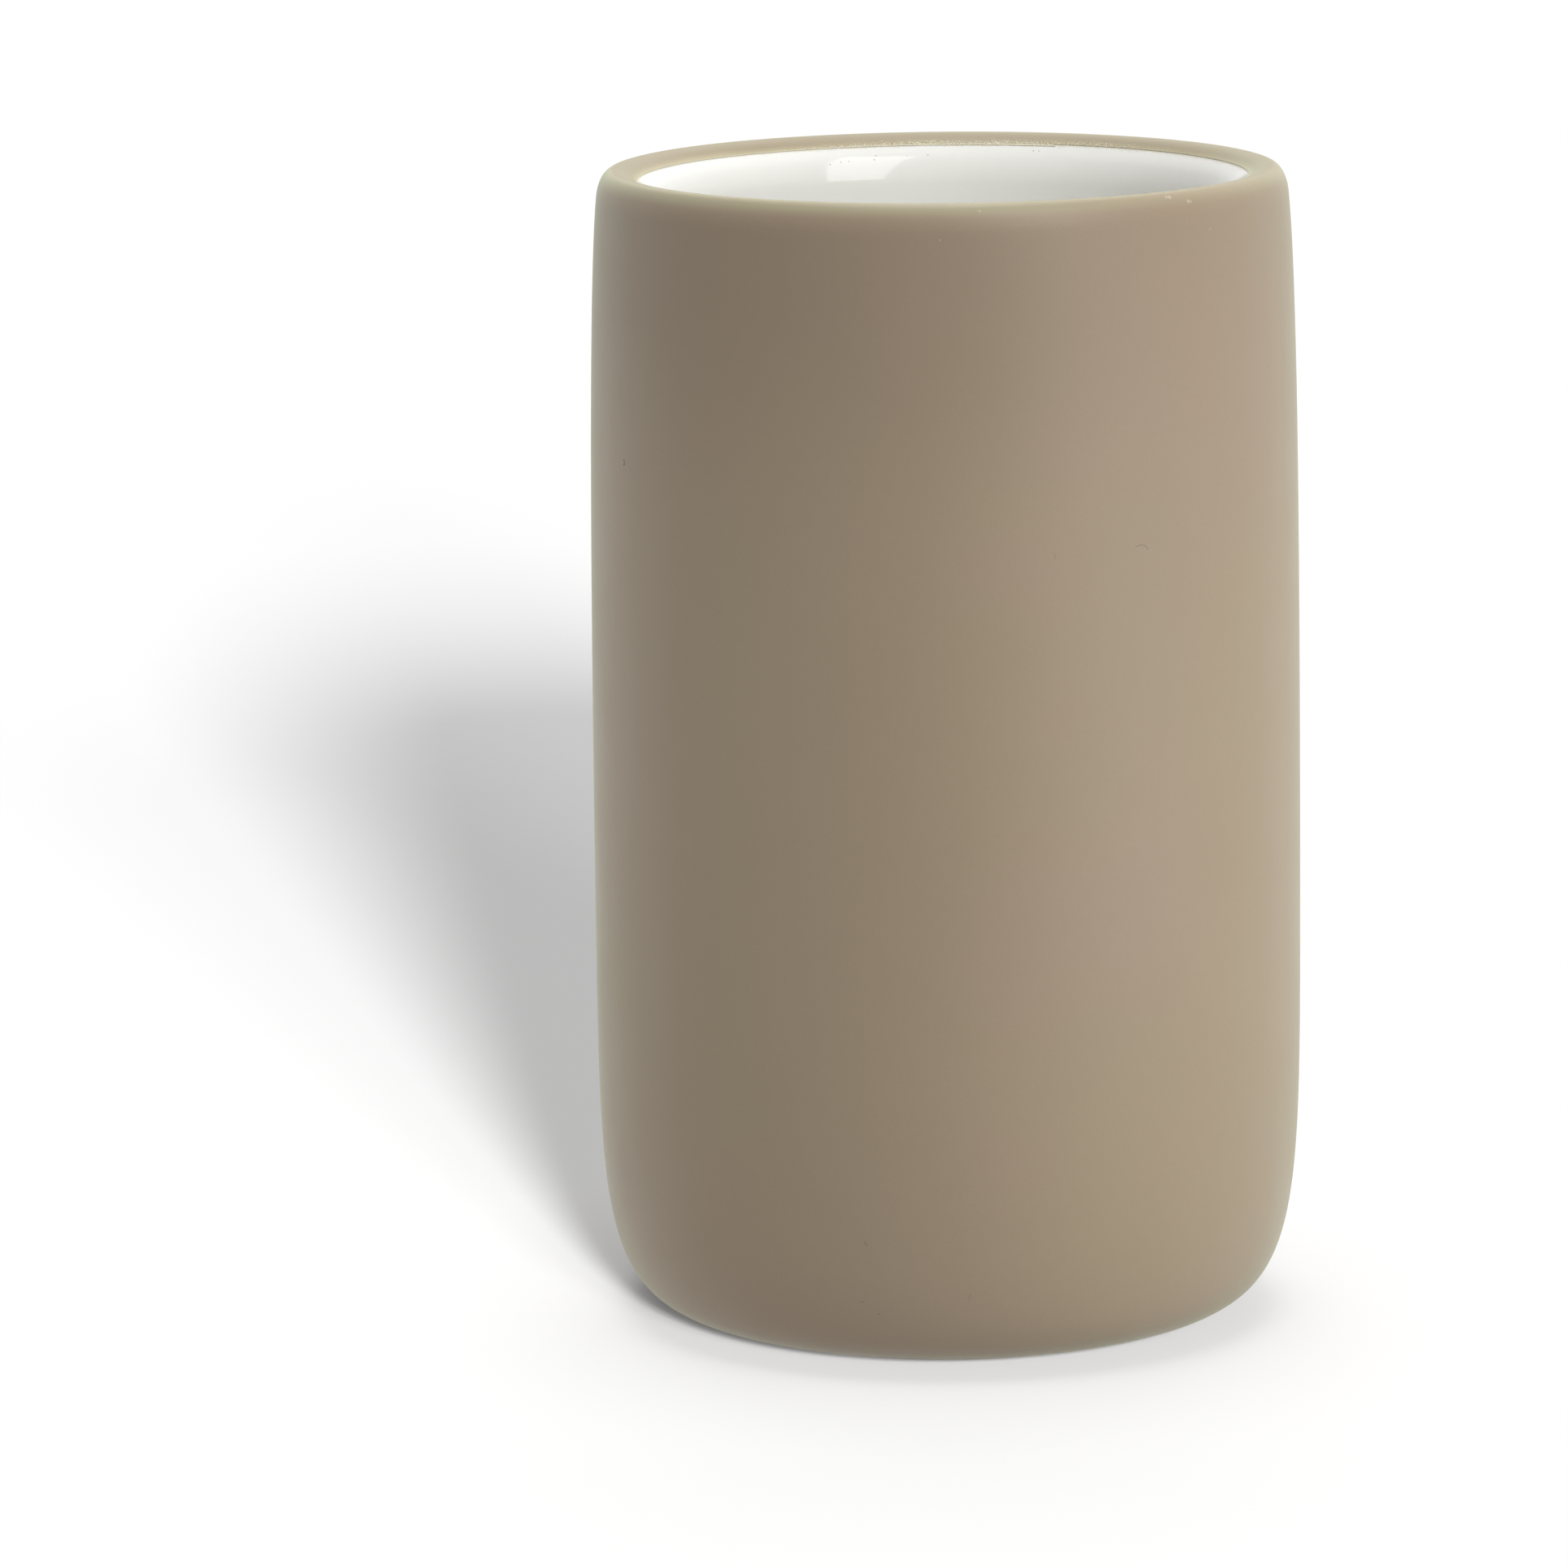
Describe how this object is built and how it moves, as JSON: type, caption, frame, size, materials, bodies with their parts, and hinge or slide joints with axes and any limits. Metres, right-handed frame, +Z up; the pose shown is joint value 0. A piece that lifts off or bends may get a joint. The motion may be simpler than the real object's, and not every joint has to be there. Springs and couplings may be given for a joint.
{
  "type": "toothbrush holder",
  "caption": "Open stoneware tumbler for toothbrushes, with gently bowed walls, a soft rubbery outer skin rolled over the lip and a white gloss lining.",
  "frame": {"origin": "centre of the plane that the foot ring stands on", "axes": "+Z up along the cup's axis, towards the mouth; the form is turned, so +X and +Y are free, and the picture looks along +Y"},
  "size_m": [0.0736, 0.0736, 0.12],
  "materials": {
    "bare_stoneware": "fired and unglazed, light buff",
    "soft_touch_lacquer": "soft-touch matte, greyish beige",
    "white_glaze": "gloss, warm white"
  },
  "bodies": {
    "root": {"stoneware_body": "bare_stoneware", "soft_touch_coat": "soft_touch_lacquer", "glaze_lining": "white_glaze"}
  },
  "joints": []
}
